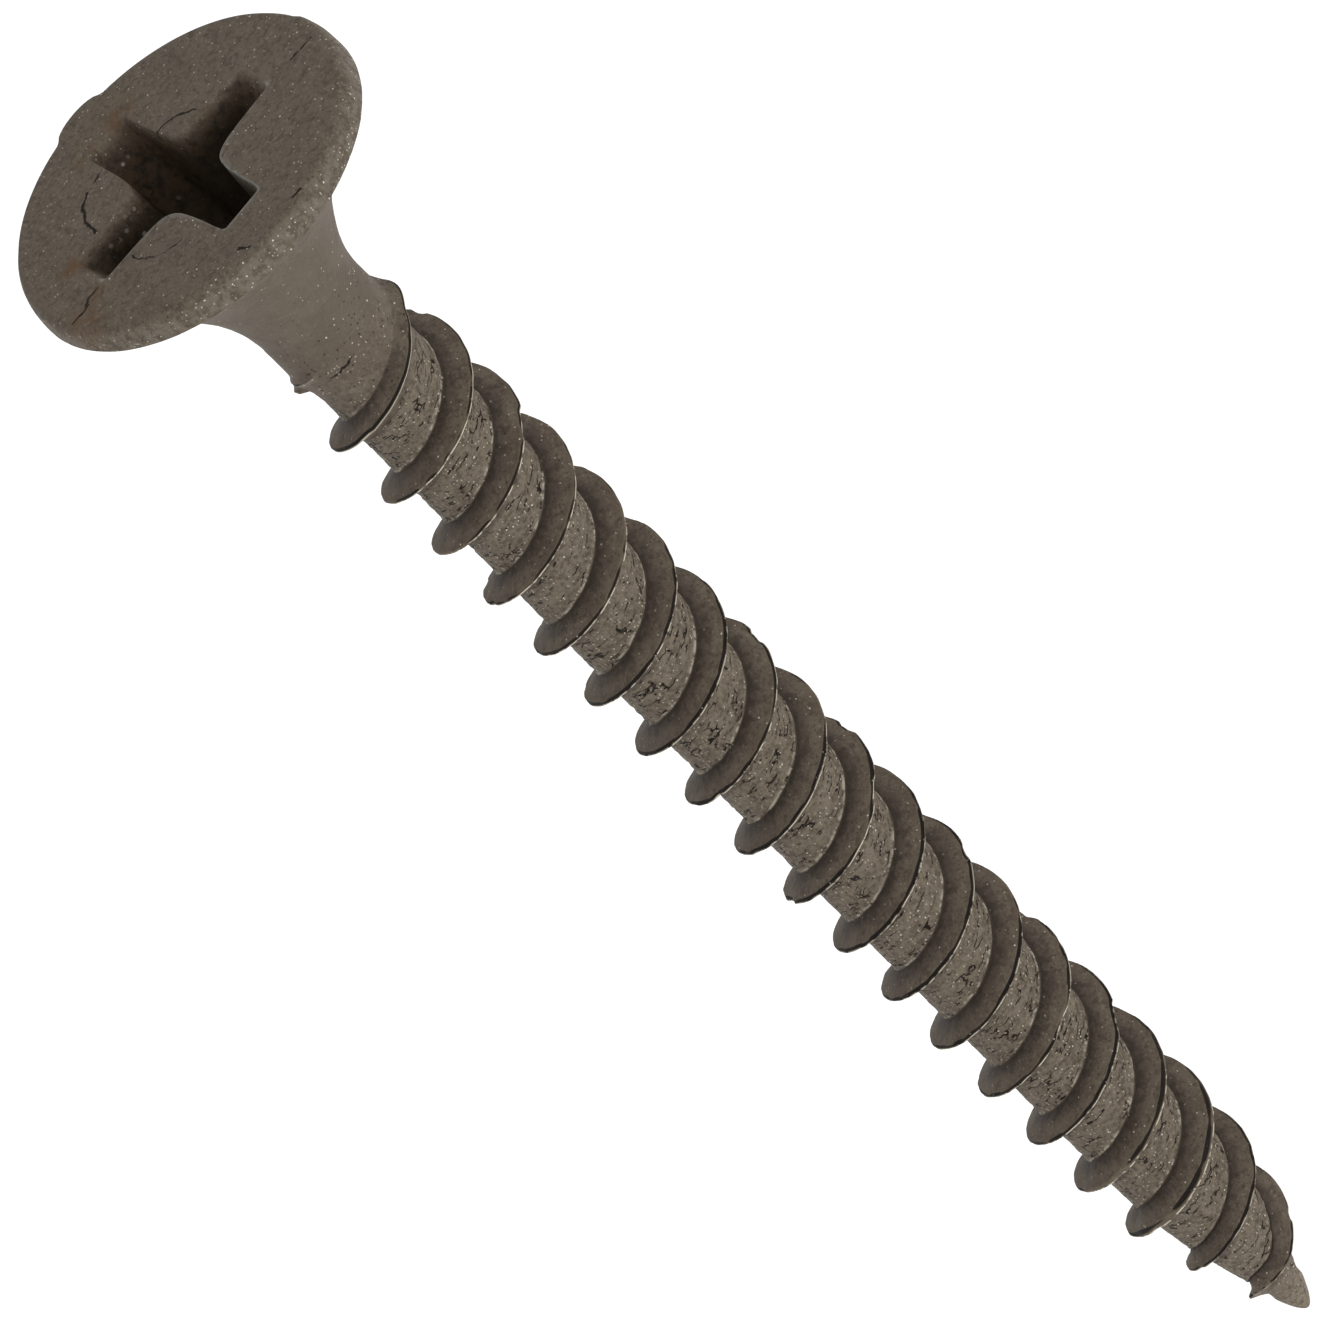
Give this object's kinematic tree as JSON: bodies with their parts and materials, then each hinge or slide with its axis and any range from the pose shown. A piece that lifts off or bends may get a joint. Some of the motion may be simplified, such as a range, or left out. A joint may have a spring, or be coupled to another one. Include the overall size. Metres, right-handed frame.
{
  "type": "wood screw",
  "caption": "Bugle-head wood screw with a cross recess, twin-start coarse right-hand thread and sharp point.",
  "frame": {"origin": "centre of the head's flat face", "axes": "+Z out of the head along the screw's axis, with the shank and point along -Z; +X and +Y along the recess's wings"},
  "size_m": [0.0082, 0.0082, 0.041],
  "materials": {
    "phosphated_steel": "matte brown-black phosphate coating on carbon steel"
  },
  "bodies": {
    "root": {"screw": "phosphated_steel"}
  },
  "joints": []
}
